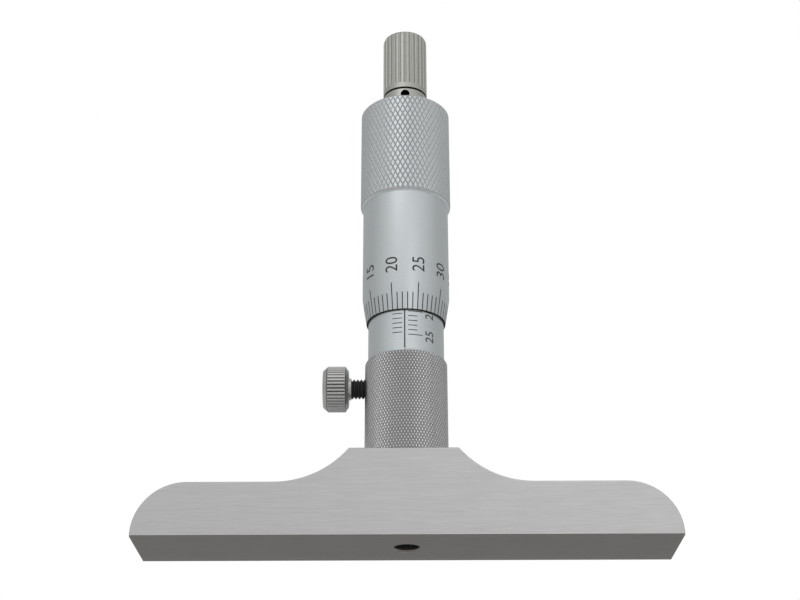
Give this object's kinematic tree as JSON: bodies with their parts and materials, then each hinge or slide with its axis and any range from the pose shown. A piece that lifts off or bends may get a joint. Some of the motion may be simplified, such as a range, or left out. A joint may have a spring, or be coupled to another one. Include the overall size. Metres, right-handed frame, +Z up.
{
  "type": "depth micrometer",
  "caption": "Depth micrometer with a long flat measuring base, knurled collar, graduated sleeve and thimble, fluted ratchet stop and side lock screw; the rod hole is empty.",
  "frame": {"origin": "centre of the rod hole on the measuring face", "axes": "+Z up the spindle axis towards the ratchet, +X along the base and away from the lock screw, -Y out of the side that carries the scale"},
  "size_m": [0.1016, 0.0186, 0.1141],
  "materials": {
    "ground_steel": "surface ground",
    "satin_chrome": "satin plated",
    "hardened_steel": "fine turned",
    "spring_steel": "drawn wire",
    "bright_steel": "fine turned",
    "nickel_grey": "matt plated",
    "knob_steel": "matt plated",
    "black_steel": "black oxide",
    "pad_brass": "turned"
  },
  "bodies": {
    "frame": {"base": "ground_steel", "knurled_collar": "satin_chrome", "inner_sleeve": "hardened_steel", "graduated_sleeve": "satin_chrome", "adjusting_nut": "hardened_steel"},
    "screw_travel": {"clamp_washer": "hardened_steel"},
    "thimble_group": {"spindle": "hardened_steel", "thimble": "satin_chrome", "clamp_cap": "bright_steel", "ratchet_axle": "hardened_steel", "ratchet_wheel": "hardened_steel", "ratchet_screw": "hardened_steel"},
    "ratchet_group": {"ratchet_cap": "nickel_grey", "ratchet_clutch": "hardened_steel", "ratchet_spring": "spring_steel"},
    "lock_travel": {"lock_pad": "pad_brass"},
    "lock_screw": {"lock_stud": "black_steel", "lock_knob": "knob_steel"}
  },
  "joints": [
    {"name": "spindle_travel", "type": "slide", "parent": "frame", "child": "screw_travel", "axis": [0, 0, 1], "range_m": [-0.00528, 0.01972]},
    {"name": "thimble_turn", "type": "hinge", "parent": "screw_travel", "child": "thimble_group", "pos_m": [0, 0, 0.05], "axis": [0, 0, 1], "range_deg": [-3802, 14199]},
    {"name": "ratchet_turn", "type": "hinge", "parent": "thimble_group", "child": "ratchet_group", "pos_m": [0, 0, 0.1], "axis": [0, 0, 1], "continuous": true},
    {"name": "lock_travel_in", "type": "slide", "parent": "frame", "child": "lock_travel", "axis": [1, 0, 0], "range_m": [-0.0014, 0.00035]},
    {"name": "lock_turn", "type": "hinge", "parent": "lock_travel", "child": "lock_screw", "pos_m": [-0.012, 0, 0.0321], "axis": [1, 0, 0], "range_deg": [-720.5, 180.5]}
  ],
  "couplings": [
    {"joint": "thimble_turn", "follows": "spindle_travel", "rad_per_m": 12566},
    {"joint": "lock_turn", "follows": "lock_travel_in", "rad_per_m": 8976}
  ]
}
